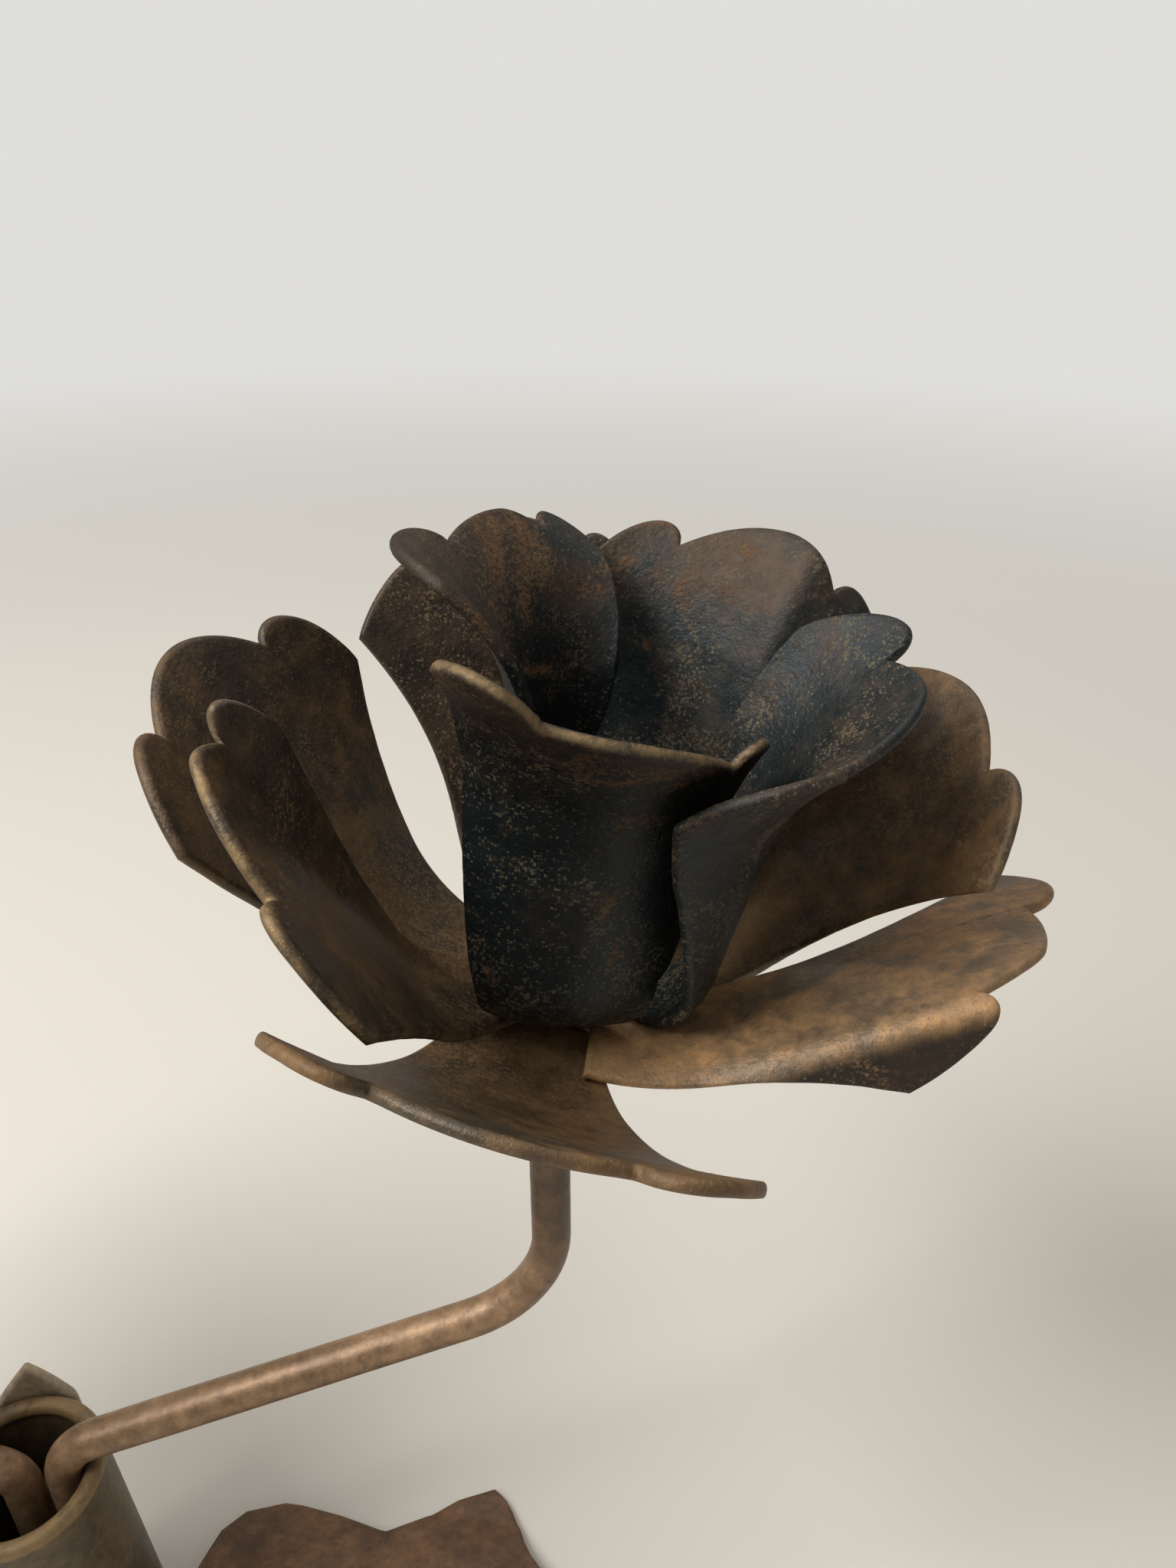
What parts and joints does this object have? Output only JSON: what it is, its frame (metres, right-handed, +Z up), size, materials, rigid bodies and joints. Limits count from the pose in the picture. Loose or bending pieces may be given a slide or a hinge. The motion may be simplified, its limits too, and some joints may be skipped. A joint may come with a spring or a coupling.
{
  "type": "candle holder",
  "caption": "Wrought-iron taper candle holder: sheet-metal roses as cups on bent rods that drop into a rolled cone base, with flat leaves as feet.",
  "frame": {"origin": "middle of the cone's foot, on the table", "axes": "+X towards the right rose, +Y away from the viewer of the picture, +Z up"},
  "size_m": [0.2554, 0.121, 0.1734],
  "materials": {
    "blackened_iron": "satin",
    "tan_rod": "satin",
    "rusted_sheet": "matte",
    "blued_sheet": "satin"
  },
  "bodies": {
    "root": {"base_cone": "blackened_iron", "foot_plug": "blackened_iron", "right_arm": "tan_rod", "left_arm": "tan_rod", "right_outer_petals": "rusted_sheet", "right_middle_petals": "rusted_sheet", "right_cup_petals": "blued_sheet", "left_outer_petals": "rusted_sheet", "left_middle_petals": "rusted_sheet", "left_cup_petals": "blued_sheet", "right_leaf": "rusted_sheet", "left_leaf": "rusted_sheet", "back_leaf": "rusted_sheet"}
  },
  "joints": []
}
